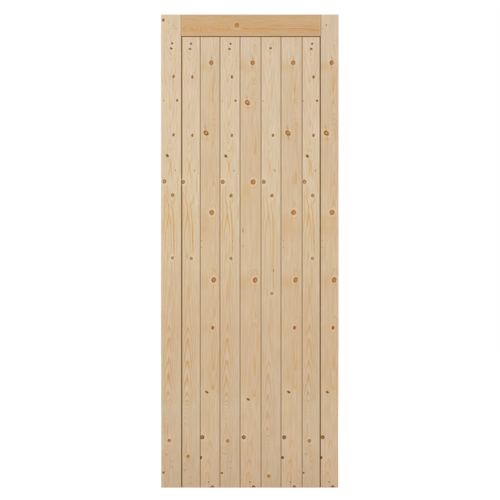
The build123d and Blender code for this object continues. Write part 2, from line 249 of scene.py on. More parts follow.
railFigure = [
    (0, 4.6, 15, 0.9, 7, 3), (21, 5, 16.5, 0.9), (40, 5.6, 16, 0.8), (61, 6, 15, 1), (76, 7, 15, 0.85),
    (97, 8, 15, 1), (121, 9, 17, 0.7), (138, 9.8, 16, 0.6), (153, 10, 15, 0.9), (169, 9.78, 15, 1),
    (185, 10, 15, 0.9), (200, 10.5, 15, 0.7), (219, 11, 15, 0.9), (236, 11.6, 15, 0.5), (256, 12, 13, 0.9),
    (271, 11.82, 15, 1), (314, 11.82, 16, 1), (350, 11.9, 16, 1), (404, 11.95, 15, 0.8),
    (440, 11.5, 15, 0.5), (470, 11.9, 15, 0.8), (481, 11.84, 15, 1), (545, 11.86, 15, 1),
    (575, 11.9, 19, 0.9), (600, 11.6, 26, 0.8),
]
# Bold strands laid over the rings: along the board in mm, off its middle in mm, half the opening between
# its two arms in mm where it has two, strength
paleStrands = [
    [(1000, 13.8, 0), (1020, 13, 0.9), (1075, 11.3, 1), (1116, 12.5, 1), (1143, 10, 0.95), (1183, 7.4, 0.9),
     (1210, 2.2, 0.8), (1226, 4, 0.6), (1245, 4.4, 0)],
    [(1012, -24, 0), (1070, -23.4, 0.6), (1102, -22, 0.75), (1137, -15.5, 0.95), (1175, -10, 1),
     (1197, -10.2, 0.8), (1212, -10.6, 1), (1226, -14.9, 0.9), (1250, -20, 0.7), (1274, -15.5, 0.8),
     (1298, -18.7, 0.5), (1312, -22, 0)],
    [(1010, 0.6, 0), (1040, 0.6, 0.45), (1076, 0.6, 0.4), (1121, 0.4, 0.6), (1140, -2, 0.85),
     (1175, -9.5, 1), (1185, -10, 0)],
    [(1085, -40, 0), (1108, -32, 0.7), (1135, -31.6, 0.8), (1169, -26.2, 0.8), (1215, -28, 0.6),
     (1250, -29.4, 0.6), (1285, -25, 0.3), (1295, -25, 0)],
    [(1150, 36.5, 0), (1160, 36.5, 0.6), (1210, 36.5, 0.6), (1225, 36.5, 0), (1265, 28.8, 0),
     (1279, 28.8, 0.7), (1334, 28.8, 0.5), (1345, 30, 0), (1350, 37, 0.5), (1407, 37, 0.4), (1415, 37, 0)],
    [(1212, 5, 0), (1222, 9.5, 0.7), (1237, 16, 0.8), (1258, 14.7, 0.5), (1268, 12, 0)],
    [(780, -1, 0), (810, -1, 0.3), (860, 0, 0.4), (930, -1, 0.45), (975, 2, 0)],
    [(1334, -9.5, 0), (1345, -9.3, 0.6), (1375, -4, 0.8), (1395, -4, 0.8), (1412, -9.3, 0.6),
     (1425, -10, 0)],
    [(1325, 5.5, 0), (1334, 5.3, 0.6), (1375, 0, 0.8), (1395, 0, 0.8), (1407, 6.6, 0.6), (1420, 7, 0)],
    [(400, -13, 0), (406, -13, 0.7), (410, -13, 0.7), (412, -13, 0), (462, -12, 0), (468, -12, 0.85),
     (484, -12, 0.85), (488, -12, 0), (528, -10.5, 0), (534, -10.5, 0.85), (546, -10, 0.85), (549, -10, 0),
     (630, -9, 0), (640, -9, 0.3), (645, -9, 0.3), (647, -9, 0), (676, -8, 0), (684, -8, 0.5),
     (690, -8, 0.5), (693, -8, 0), (800, -8, 0), (815, -8, 0.5), (866, -8, 0.65), (872, -8, 0)],
    [(975, -14, 0), (985, -13, 0.7), (1003, -12.5, 0.6), (1013, -12, 0)],
]
redStrands = [
    [(30, -12, 11, 0), (33, -12, 10, 0.42), (60, -12, 6, 0.48), (69, -12, 0.54), (70, -12, 0),
     (85, -9, 11, 0), (88, -9, 10, 0.42), (112, -9, 6, 0.48), (122, -9, 0.54), (123, -9, 0),
     (165, -2, 10, 0), (168, -2, 9.5, 0.3), (195, -1.5, 6, 0.36), (204, -1.2, 0.42), (205, -1.2, 0)],
    [(417, 11, 0), (420, 11, 0.6), (425, 11, 6, 0.45), (440, 11, 7.5, 0.35), (496, 11.5, 8.5, 0),
     (499, 14.6, 0), (502, 14.6, 0.65), (520, 14.6, 2.6, 0.5), (560, 14.6, 5, 0.3), (634, 14.6, 6.5, 0)],
    [(687, 14, 12, 0), (689, 14, 11.5, 0.35), (703, 14, 7, 0.45), (708, 14, 0.6), (709, 14, 0),
     (869, 16, 0), (871, 16, 0.8), (878, 16, 8, 0.5), (884, 16, 11, 0), (913, 17, 11, 0),
     (916, 17, 10, 0.4), (932, 17, 4, 0.5), (939, 17, 0.65), (940, 17, 0)],
    [(1153, 11, 0), (1155, 11, 0.8), (1162, 11, 7, 0.5), (1168, 11, 11, 0), (1197, 14, 10.5, 0),
     (1199, 14, 10, 0.4), (1214, 14, 5, 0.5), (1218, 14, 0.65), (1219, 14, 0), (1296, 13.8, 0),
     (1302, 13.8, 0.5), (1340, 16.5, 0.6), (1350, 16.8, 0)],
    [(foot + z, 14.6, opening, level) for foot in (1532, 1553, 1575, 1596)
     for z, opening, level in ((0, 11, 0), (1, 10, 0.27), (10, 6, 0.33), (13, 0, 0.42), (14, 0, 0))],
    [(1640, 13, 0), (1660, 13.5, 0.4), (1672, 12, 0.48), (1690, 11, 0.56), (1694, 11, 0.72),
     (1712, 12, 3, 0.48), (1740, 14, 2, 0.4), (1775, 16, 0.4), (1800, 18.9, 0.48), (1812, 19, 0)],
]
railStrands = [
    [(262, 9, 0), (268, 12, 0.7), (274, 14.5, 0.8), (310, 16, 0.8), (335, 13.5, 0.7), (350, 12.5, 0.7),
     (385, 14.5, 0.5), (405, 16, 0)],
    [(262, 17.5, 0), (275, 17.5, 0.6), (330, 18, 0.7), (370, 17.5, 0.7), (400, 17.5, 0.8), (420, 18, 0)],
    [(478, 14.5, 0), (490, 15.5, 0.8), (545, 15.5, 0.8), (560, 16, 0.6), (575, 18, 0.4), (585, 19, 0)],
    [(530, 17, 0), (545, 18.5, 0.5), (575, 22, 0.6), (604, 25.5, 0.7)],
    [(153, 15.5, 0), (160, 15.5, 0.9), (180, 15.5, 0.9), (188, 15, 0)],
    [(-6, 12.5, 0.6), (8, 13, 0.6), (17, 15.5, 0.7), (22, 16, 0)],
    [(9, 18, 8, 0), (11, 18, 7, 0.5), (22, 18, 1), (24, 18, 0), (48, 18, 9, 0), (50, 18, 8, 0.7),
     (61, 18, 1), (62, 18, 0), (64, 18, 9, 0), (66, 18, 8, 0.6), (77, 18, 1), (78, 18, 0), (82, 18, 9, 0),
     (84, 18, 8, 0.5), (95, 18, 0.9), (97, 18, 0), (178, 17, 7, 0), (180, 17, 6, 0.5), (192, 17, 0.7),
     (194, 17, 0), (202, 16, 8, 0), (204, 16, 7, 0.5), (215, 16, 0.9), (217, 16, 0)],
]
backFigure = [
    (0, 4, -12, 0.6, 12, 14), (90, 6, -8, 0.7), (180, 7.5, -6, 0.7, 11, 14), (260, 9, 0, 0.8),
    (330, 9.6, 4, 0.7, 12, 14), (420, 8.8, 6, 0.7, 13, 14), (520, 7, 10, 0.8, 12, 14), (600, 5.2, 12, 0.7),
    (760, 6.4, 8, 0.7, 11, 14), (900, 8, 2, 0.8), (1100, 10, 0, 0.7, 12, 14), (1250, 11, -4, 0.6),
]
figureScale = {"rings": 24.0, "pith": 100.0, "spacing": 30.0, "blunt": 40.0}  # a ramp holds 0 to 1
mostStops = 32  # in one ramp, so a longer list is split at its middle row


# Reads a figure list along the board
def readFigure(tree, along, rows):
    add = partial(addNode, tree)
    filled = []
    for row in rows:
        filled.append(row if len(row) == 6 else (*row, *filled[-1][4:]))
    middle = len(filled) // 2
    color = None
    for part in [filled] if len(filled) <= mostStops else [filled[:middle + 1], filled[middle:]]:
        low, high = part[0][0], part[-1][0]
        position = add(rangeNode, {0: along, 1: low, 2: high})[0]
        turns, blunts = [], []
        for z, rings, pith, strength, spacing, arch in part:
            share = (z - low) / (high - low)
            turns.append((share, (rings / figureScale["rings"], 0.5 + pith / figureScale["pith"], strength,
                                  spacing / figureScale["spacing"])))
            blunts.append((share, (arch / figureScale["blunt"],) * 3 + (1,)))
        partColor, partAlpha = fillRamp(add(rampNode, {0: position}), turns)
        partBlunt = fillRamp(add(rampNode, {0: position}), blunts)[0]
        if color is None:
            color, alpha, blunt = partColor, partAlpha, partBlunt
        else:
            above = add(mathNode, {0: along, 1: low}, operation="GREATER_THAN")[0]
            color = add(mixNode, {0: above, 6: color, 7: partColor}, **colored)[2]
            alpha = add(mixNode, {0: above, 2: alpha, 3: partAlpha})[0]
            blunt = add(mixNode, {0: above, 6: blunt, 7: partBlunt}, **colored)[2]
    red, green, strength = list(add("ShaderNodeSeparateColor", {0: color}))[:3]
    rings = add(mathNode, {0: red, 1: figureScale["rings"]}, operation="MULTIPLY")[0]
    pith = {0: green, 1: figureScale["pith"], 2: -figureScale["pith"] / 2}
    pith = add(mathNode, pith, operation="MULTIPLY_ADD")[0]
    spacing = add(mathNode, {0: alpha, 1: figureScale["spacing"]}, operation="MULTIPLY")[0]
    blunt = add(mathNode, {0: blunt, 1: figureScale["blunt"]}, operation="MULTIPLY")[0]
    return rings, pith, strength, spacing, blunt


# Timber finishes: planed softwood, left bare. The eye reads pale earlywood crossed by orange
# latewood lines that follow the growth rings, with brown branch knots. Shares are strengths from 0 to 1,
# and reaches and widths are in mm. Drift is the slow change of tone along the board. On the pale face
# boards it is darkest at the foot, partly the timber's own tone and partly painted shade of the light
# falling off down the leaf. Its rows are: share of its length, red, green, blue
timbers = {
    # whitewood sorted for small knots: cream, honey-coloured lines
    "planed_whitewood": {
        "knots": paleKnots, "figure": paleFigure, "strands": paleStrands, "figureLength": leafHeight,
        "early": "#DBC7AA", "late": "#D29C46", "streak": "#D4B78C", "rim": "#A46C1E", "darkRim": "#5A3C0A",
        "streakShare": 0.35, "lineShare": 0.93, "lineReach": 30, "lateWidth": 3.8, "strandReach": (3.4, 0.8),
        "drift": [(0.0, 0.87, 0.82, 0.78), (0.1, 0.91, 0.865, 0.84), (0.185, 0.905, 0.885, 0.875),
                  (0.354, 0.91, 0.857, 0.8), (0.523, 0.945, 0.93, 0.885), (0.608, 0.965, 0.975, 0.965),
                  (0.777, 0.965, 0.965, 0.975), (0.95, 0.94, 0.93, 0.935)],
    },
    # redwood sorted for sound knots: pinker and plainer
    "planed_redwood": {
        "knots": pinkKnots, "figure": pinkFigure, "strands": redStrands, "figureLength": leafHeight,
        "early": "#D5BE9E", "late": "#D09A3E", "streak": "#D2AE84", "rim": "#B46606", "darkRim": "#532C00",
        "streakShare": 0.4, "lineShare": 1.0, "lineReach": 14.0, "lateWidth": 3.0, "strandReach": (2.8, 0.6),
        "drift": [(0.0, 0.97, 0.925, 0.91), (0.1, 0.99, 0.975, 0.98), (0.185, 0.98, 0.965, 0.92),
                  (0.236, 0.957, 0.92, 0.855), (0.3, 0.965, 0.925, 0.875), (0.354, 0.967, 0.945, 0.92),
                  (0.39, 0.972, 0.94, 0.9), (0.443, 0.977, 0.954, 0.919), (0.465, 0.979, 0.995, 0.98),
                  (0.492, 0.982, 0.967, 0.935), (0.575, 0.98, 0.967, 0.945), (0.597, 0.978, 0.995, 0.99),
                  (0.63, 0.975, 0.96, 0.946), (0.777, 0.96, 0.943, 0.948), (0.89, 0.96, 0.985, 1.01),
                  (0.93, 0.975, 1.03, 1.11)],
        "tailed": ("top", "leaning"),  # knots with a stained streak above and below
        # warm clouds beside the knots: along the board in mm, strength
        "blush": [(285, 0), (318, 0.5), (350, 0), (640, 0), (675, 0.6), (715, 0), (840, 0), (880, 0.9),
                  (930, 0), (1050, 0), (1110, 0.9), (1165, 0.6), (1182, 0), (1480, 0), (1520, 0.8),
                  (1560, 0), (1772, 0), (1806, 1.0), (1838, 0)],
    },
    # heartwood rail: warm orange throughout
    "planed_heartwood": {
        "knots": {"rail": (0.5, 244.5, 8.4, 0.25, 0.3, 0, 1.0)},
        "figure": railFigure, "strands": railStrands, "figureLength": 600.0,
        "early": "#C8A77D", "late": "#C8861C", "streak": "#CC9C6E", "rim": "#AE6C22", "darkRim": "#5A3A12",
        "streakShare": 0.45, "lineShare": 1.0, "lineReach": 16.0, "lateWidth": 3.0, "strandReach": (2.8, 0.4),
        "drift": [(0.0, 1, 1, 1), (1.0, 1, 1, 1)],
    },
    # backing timber for ledges and braces: the same redwood, with broader figure
    "sawn_redwood": {
        "knots": {
            "one": (31.0, 96.0, 9.0, 0.5, 0.4, 20, 1.1), "two": (-24.0, 322.0, 11.0, 0.55, 0.35, -20, 1.15),
            "three": (12.0, 505.0, 6.0, 0.8, 1.0, 0, 1.2), "four": (-14.0, 742.0, 8.0, 0.5, 0.4, 10, 1.1),
            "five": (24.0, 930.0, 5.0, 0.8, 1.0, 0, 1.3), "six": (-60.0, 170.0, 5.0, 0.7, 1.0, 0, 1.0),
            "seven": (58.0, 440.0, 7.0, 0.6, 0.5, 0, 1.1),
        },
        "figure": backFigure, "strands": (), "figureLength": 1250.0,
        "early": "#D9BE9A", "late": "#CB9A5F", "streak": "#D6AF84", "rim": "#A9611A", "darkRim": "#54300C",
        "streakShare": 0.4, "lineShare": 0.55, "lineReach": 60.0, "lateWidth": 3.8, "strandReach": (3.4, 0.8),
        "drift": [(0.0, 1, 1, 1), (1.0, 0.97, 0.95, 0.93)],
    },
}
knotHalos = {"haloed": 0.85, "ringed": 0.6, "rail": 0.1, "resinUpper": 0.0, "resinLower": 0.0}
knotColors = {"fringe": "#C28E46", "paleCentre": "#DCA65A", "halo": "#E8DBC6", "stain": "#B97D45"}
blushColor = "#CFA562"
# Painted highlight for the board edges, painted shade for the V grooves and the open gaps
edgeColors = {"Edge light": "#F0E2CA", "Groove shade": "#946A2B", "Gap shade": "#9C6E26"}
tints = {"coolThread": (1.04, 1.06, 1.18, 1), "warmThread": (0.97, 0.945, 0.84, 1),
         "endGrain": (0.74, 0.66, 0.56, 1)}

# One group turns a place in the timber into its colour, roughness and height
surfaceInputs = {
    "Vector": ("Board place", "Knot tones"),
    "Float": ("Across", "Depth", "Swell", "Rings on axis", "Pith offset", "Line strength", "Ring spacing",
              "Arch bluntness", "Strands", "Line reach", "Late width", "Knot distance", "Knot tail",
              "Edge light", "Groove shade", "Gap shade", "End grain", "Blush", "Streak share", "Line share",
              "Seed"),
    "Color": ("Early", "Late", "Streak", "Rim", "Dark rim", "Drift"),
}
woodTree, given, result = newGroup(
    "timberSurface", [(label, kind) for kind, labels in surfaceInputs.items() for label in labels],
    [("Color", "Color"), ("Roughness", "Float"), ("Height", "Float")])
inWood = partial(addNode, woodTree)

fibres = {
    # name: (size across in mm, size along in mm)
    "wander": (26.0, 210.0),  # slow bends of the grain
    "ragged": (6.0, 70.0),  # small kinks of one ring
    "streak": (8.0, 330.0),  # bands of warmer wood
    "fibre": (1.3, 46.0),  # tracheid bundles: far finer in real timber, drawn as coarse as a close view shows
    "hair": (4.2, 75.0),  # paler and yellower threads between the ring lines
    "mottle": (45.0, 120.0),
    "cloud": (14.0, 26.0),
    "bark": (4.5, 4.5),  # broken outline of a knot
}
fibreNoise = {}
for name, (across, along) in fibres.items():
    size = (1 / across, 1 / across, 1 / along)
    scaled = inWood(vectorNode, {0: given["Board place"], 1: size}, operation="MULTIPLY")[0]
    grain = {"Vector": scaled, "W": given["Seed"], "Scale": 1.0, "Detail": 2.0, "Roughness": 0.5}
    fibreNoise[name] = inWood(noiseNode, grain, noise_dimensions="4D")["Fac"]

woodShape = {
    "wander": 0.6,  # rings that the slow bends and the small kinks shift a line by
    "ragged": 0.4,
    "darkening": 1.3,  # power by which latewood darkens towards the end of its ring
    "fadeShare": 0.16,  # the step back to pale wood, as a share of the latewood, and its darkest tone
    "fadeTone": 0.9,
    "barkJag": 1.3,  # how far noise moves the outline and the tone of a knot's rim
    "barkTone": 1.2,
    "knotPolish": -0.14,  # knots are harder and plane smoother
    "lineRelief": 0.6,  # latewood and knots stand proud of the earlywood
    "knotRelief": 0.5,
}
# Ring count = count on the board's axis plus the rings crossed sideways, plus the knots' swell and two sizes
# of wander
fromPith = inWood(mathNode, {0: given["Across"], 1: given["Pith offset"]}, operation="SUBTRACT")[0]
inward = inWood(mathNode, {0: given["Depth"], 1: given["Arch bluntness"]}, operation="ADD")[0]
radial = inWood(joinNode, {0: fromPith, 1: inward})[0]
outward = inWood(vectorNode, {0: radial}, operation="LENGTH")["Value"]
outward = inWood(mathNode, {0: outward, 1: given["Arch bluntness"]}, operation="SUBTRACT")[0]
ringCount = inWood(mathNode, {0: outward, 1: given["Ring spacing"]}, operation="DIVIDE")[0]
ringCount = inWood(mathNode, {0: ringCount, 1: given["Swell"]}, operation="ADD")[0]
ringCount = inWood(mathNode, {0: ringCount, 1: given["Rings on axis"]}, operation="ADD")[0]
for name in ("wander", "ragged"):
    centred = inWood(mathNode, {0: fibreNoise[name], 1: 0.5}, operation="SUBTRACT")[0]
    ringCount = inWood(mathNode, {0: centred, 1: woodShape[name], 2: ringCount}, operation="MULTIPLY_ADD")[0]
withinRing = inWood(mathNode, {0: ringCount}, operation="FRACT")[0]
ringNumber = inWood(mathNode, {0: ringCount}, operation="FLOOR")[0]
# Latewood is a band of even width that darkens slowly and stops short at the next ring
lateBand = inWood(mathNode, {0: given["Late width"], 1: given["Ring spacing"]}, operation="DIVIDE")[0]
darkening = inWood(mathNode, {0: withinRing, 1: -1.0}, operation="ADD")[0]
darkening = inWood(mathNode, {0: darkening, 1: lateBand}, operation="DIVIDE")[0]
darkening = inWood(mathNode, {0: darkening, 1: 1.0}, operation="ADD", use_clamp=True)[0]
darkening = inWood(mathNode, {0: darkening, 1: woodShape["darkening"]}, operation="POWER")[0]
fadeEnd = inWood(mathNode, {0: lateBand, 1: woodShape["fadeShare"]}, operation="MULTIPLY")[0]
fade = inWood(rangeNode, {0: withinRing, 1: fadeEnd, 2: 0.0, 4: woodShape["fadeTone"]})[0]
latewood = inWood(mathNode, {0: darkening, 1: fade}, operation="MAXIMUM")[0]
offAxis = inWood(mathNode, {0: fromPith}, operation="ABSOLUTE")[0]
offAxis = inWood(mathNode, {0: offAxis, 1: given["Line reach"]}, operation="DIVIDE")[0]
nearAxis = inWood(rangeNode, span("offAxis", offAxis), **smooth)[0]
latewood = inWood(mathNode, {0: latewood, 1: nearAxis}, operation="MULTIPLY")[0]
ringSeed = inWood(joinNode, {0: ringNumber, 1: given["Seed"]})[0]
ringLuck = inWood("ShaderNodeTexWhiteNoise", {"Vector": ringSeed}, noise_dimensions="3D")["Value"]
ringLuck = inWood(rangeNode, span("ringLuck", ringLuck))[0]
line = inWood(mathNode, {0: latewood, 1: ringLuck}, operation="MULTIPLY")[0]
line = inWood(mathNode, {0: line, 1: given["Line strength"]}, operation="MULTIPLY")[0]
line = inWood(mathNode, {0: line, 1: given["Strands"]}, operation="MAXIMUM")[0]
lineAmount = inWood(mathNode, {0: line, 1: given["Line share"]}, operation="MULTIPLY")[0]

streaks = inWood(rangeNode, span("streak", fibreNoise["streak"]), **smooth)[0]
streaks = inWood(mathNode, {0: streaks, 1: given["Streak share"]}, operation="MULTIPLY")[0]
ground = inWood(mixNode, {0: streaks, 6: given["Early"], 7: given["Streak"]}, **colored)[2]
ground = inWood(mixNode, {0: lineAmount, 6: ground, 7: given["Late"]}, **colored)[2]
threads = inWood(rangeNode, span("thread", fibreNoise["hair"]), **smooth)[0]
threadTone = inWood(mixNode, {0: threads, 6: tints["coolThread"], 7: tints["warmThread"]}, **colored)[2]
fibreTone = inWood(rangeNode, span("fibre", fibreNoise["fibre"]))[0]
mottleTone = inWood(rangeNode, span("mottle", fibreNoise["mottle"]))[0]
tone = inWood(mathNode, {0: fibreTone, 1: mottleTone}, operation="MULTIPLY")[0]
for factor in (threadTone, tone, given["Drift"]):
    ground = inWood(mixNode, {0: 1.0, 6: ground, 7: factor}, **multiplied)[2]
clouds = inWood(mathNode, {0: fibreNoise["cloud"], 1: given["Blush"]}, operation="MULTIPLY")[0]
ground = inWood(mixNode, {0: clouds, 6: ground, 7: hexColor(blushColor)}, **colored)[2]

# Board edges: a painted highlight on the planed shoulder, painted shade in the V and in the gap below it
for label, code in edgeColors.items():
    ground = inWood(mixNode, {0: given[label], 6: ground, 7: hexColor(code)}, **colored)[2]
endTone = inWood(mixNode, {0: given["End grain"], 6: white, 7: tints["endGrain"]}, **colored)[2]
ground = inWood(mixNode, {0: 1.0, 6: ground, 7: endTone}, **multiplied)[2]

# Knots: stained streak, halo of clear wood, warm fringe, dark rim, paler centre
tones = inWood(splitNode, {0: given["Knot tones"]})
bark = inWood(mathNode, {0: fibreNoise["bark"], 1: 0.5}, operation="SUBTRACT")[0]
knotDistance = {0: bark, 1: woodShape["barkJag"], 2: given["Knot distance"]}
knotDistance = inWood(mathNode, knotDistance, operation="MULTIPLY_ADD")[0]
tailShare = inWood(rangeNode, span("tail", given["Knot tail"]), **smooth)[0]
raggedTail = inWood(rangeNode, span("raggedTail", fibreNoise["ragged"]), **smooth)[0]
tailShare = inWood(mathNode, {0: tailShare, 1: raggedTail}, operation="MULTIPLY")[0]
rimTone = {0: bark, 1: woodShape["barkTone"], 2: tones[0]}
rimTone = inWood(mathNode, rimTone, operation="MULTIPLY_ADD", use_clamp=True)[0]
rimColor = inWood(mixNode, {0: rimTone, 6: given["Rim"], 7: given["Dark rim"]}, **colored)[2]
centreColor = inWood(mixNode, {0: tones[1], 6: hexColor(knotColors["paleCentre"]), 7: rimColor}, **colored)[2]
centreShare = inWood(rangeNode, span("centre", knotDistance), **smooth)[0]
knotColor = inWood(mixNode, {0: centreShare, 6: rimColor, 7: centreColor}, **colored)[2]
haloShare = inWood(rangeNode, span("halo", knotDistance), **smooth)[0]
haloShare = inWood(mathNode, {0: haloShare, 1: tones[2]}, operation="MULTIPLY")[0]
haloPatch = inWood(rangeNode, span("haloPatch", fibreNoise["mottle"]), **smooth)[0]
haloShare = inWood(mathNode, {0: haloShare, 1: haloPatch}, operation="MULTIPLY")[0]
fringeShare = inWood(rangeNode, span("fringe", knotDistance), **smooth)[0]
knotShare = inWood(rangeNode, span("knot", knotDistance), **smooth)[0]
for share, name in ((tailShare, "stain"), (haloShare, "halo"), (fringeShare, "fringe")):
    ground = inWood(mixNode, {0: share, 6: ground, 7: hexColor(knotColors[name])}, **colored)[2]
ground = inWood(mixNode, {0: knotShare, 6: ground, 7: knotColor}, **colored)[2]

rough = inWood(rangeNode, span("roughness", line))[0]
rough = inWood(mathNode, {0: knotShare, 1: woodShape["knotPolish"], 2: rough}, operation="MULTIPLY_ADD")[0]
height = {0: line, 1: woodShape["lineRelief"], 2: fibreNoise["fibre"]}
height = inWood(mathNode, height, operation="MULTIPLY_ADD")[0]
height = inWood(mathNode, {0: knotShare, 1: woodShape["knotRelief"], 2: height}, operation="MULTIPLY_ADD")[0]
giveResult(woodTree, result, {"Color": ground, "Roughness": rough, "Height": height})


# Draws the bold strands of a timber: each is a soft line a few mm wide along its path, or a pair of arms.
# A row without an opening has a sum of 0
def readStrands(tree, across, along, timber):
    add = partial(addNode, tree)
    pithScale = figureScale["pith"]
    strands = 0.0
    far, near = timber["strandReach"]
    for path in timber["strands"]:
        low, high = path[0][0], path[-1][0]
        position = add(rangeNode, {0: along, 1: low, 2: high})[0]
        stops = [((z - low) / (high - low), (0.5 + x / pithScale, sum(opening) / pithScale, 0, level))
                 for z, x, *opening, level in path]
        color, level = fillRamp(add(rampNode, {0: position}), stops)
        red, green, _ = add("ShaderNodeSeparateColor", {0: color})[:3]
        middle = add(mathNode, {0: red, 1: pithScale, 2: -pithScale / 2}, operation="MULTIPLY_ADD")[0]
        opening = add(mathNode, {0: green, 1: pithScale}, operation="MULTIPLY")[0]
        offLine = across
        for centre in (middle, opening):
            offLine = add(mathNode, {0: offLine, 1: centre}, operation="SUBTRACT")[0]
            offLine = add(mathNode, {0: offLine}, operation="ABSOLUTE")[0]
        strand = add(rangeNode, {0: offLine, 1: far, 2: near}, **smooth)[0]
        strand = add(mathNode, {0: strand, 1: level}, operation="MULTIPLY")[0]
        strands = add(mathNode, {0: strand, 1: strands}, operation="MAXIMUM")[0]
    return strands


# Each timber has one figure, shared by every board cut from it
def figureGroup(timberName, timber):
    labels = ("Rings on axis", "Pith offset", "Line strength", "Ring spacing", "Arch bluntness", "Strands")
    tree, given, result = newGroup(
        timberName + "_figure", [("Across", "Float"), ("Along", "Float"), ("Pushed along", "Float")],
        [(label, "Float") for label in labels])
    figure = readFigure(tree, given["Pushed along"], timber["figure"])
    strands = readStrands(tree, given["Across"], given["Along"], timber)
    giveResult(tree, result, dict(zip(labels, (*figure, strands))))
    return tree


figureTrees = {timberName: figureGroup(timberName, timber) for timberName, timber in timbers.items()}

# Edges run in from one side of a piece: the way, and which of its sizes the edge stands at
edgeWays = {"low": (1.0, "half"), "high": (-1.0, "half"), "end": (-1.0, "endAt"), "start": (1.0, "startAt")}
# Where a finish fades out and where it is full, in mm from the edge's reach, and its strength
edgeFades = {"light": (5.5, 1.0, 0.2), "shade": (0.4, -0.8, 1.0)}
# Painted shade in the V grooves is mixed at this share of its colour
grooveShare = 0.66  # of the groove's colour
faceReach = 9.0  # mm behind the face, as deep as an edge is shaded
slideReach = 200.0  # mm, the most that a piece's figure slides along it
surfaceFinish = {"bump": 0.35, "bumpDepth": 0.00035, "specular": 0.35}  # depth in m


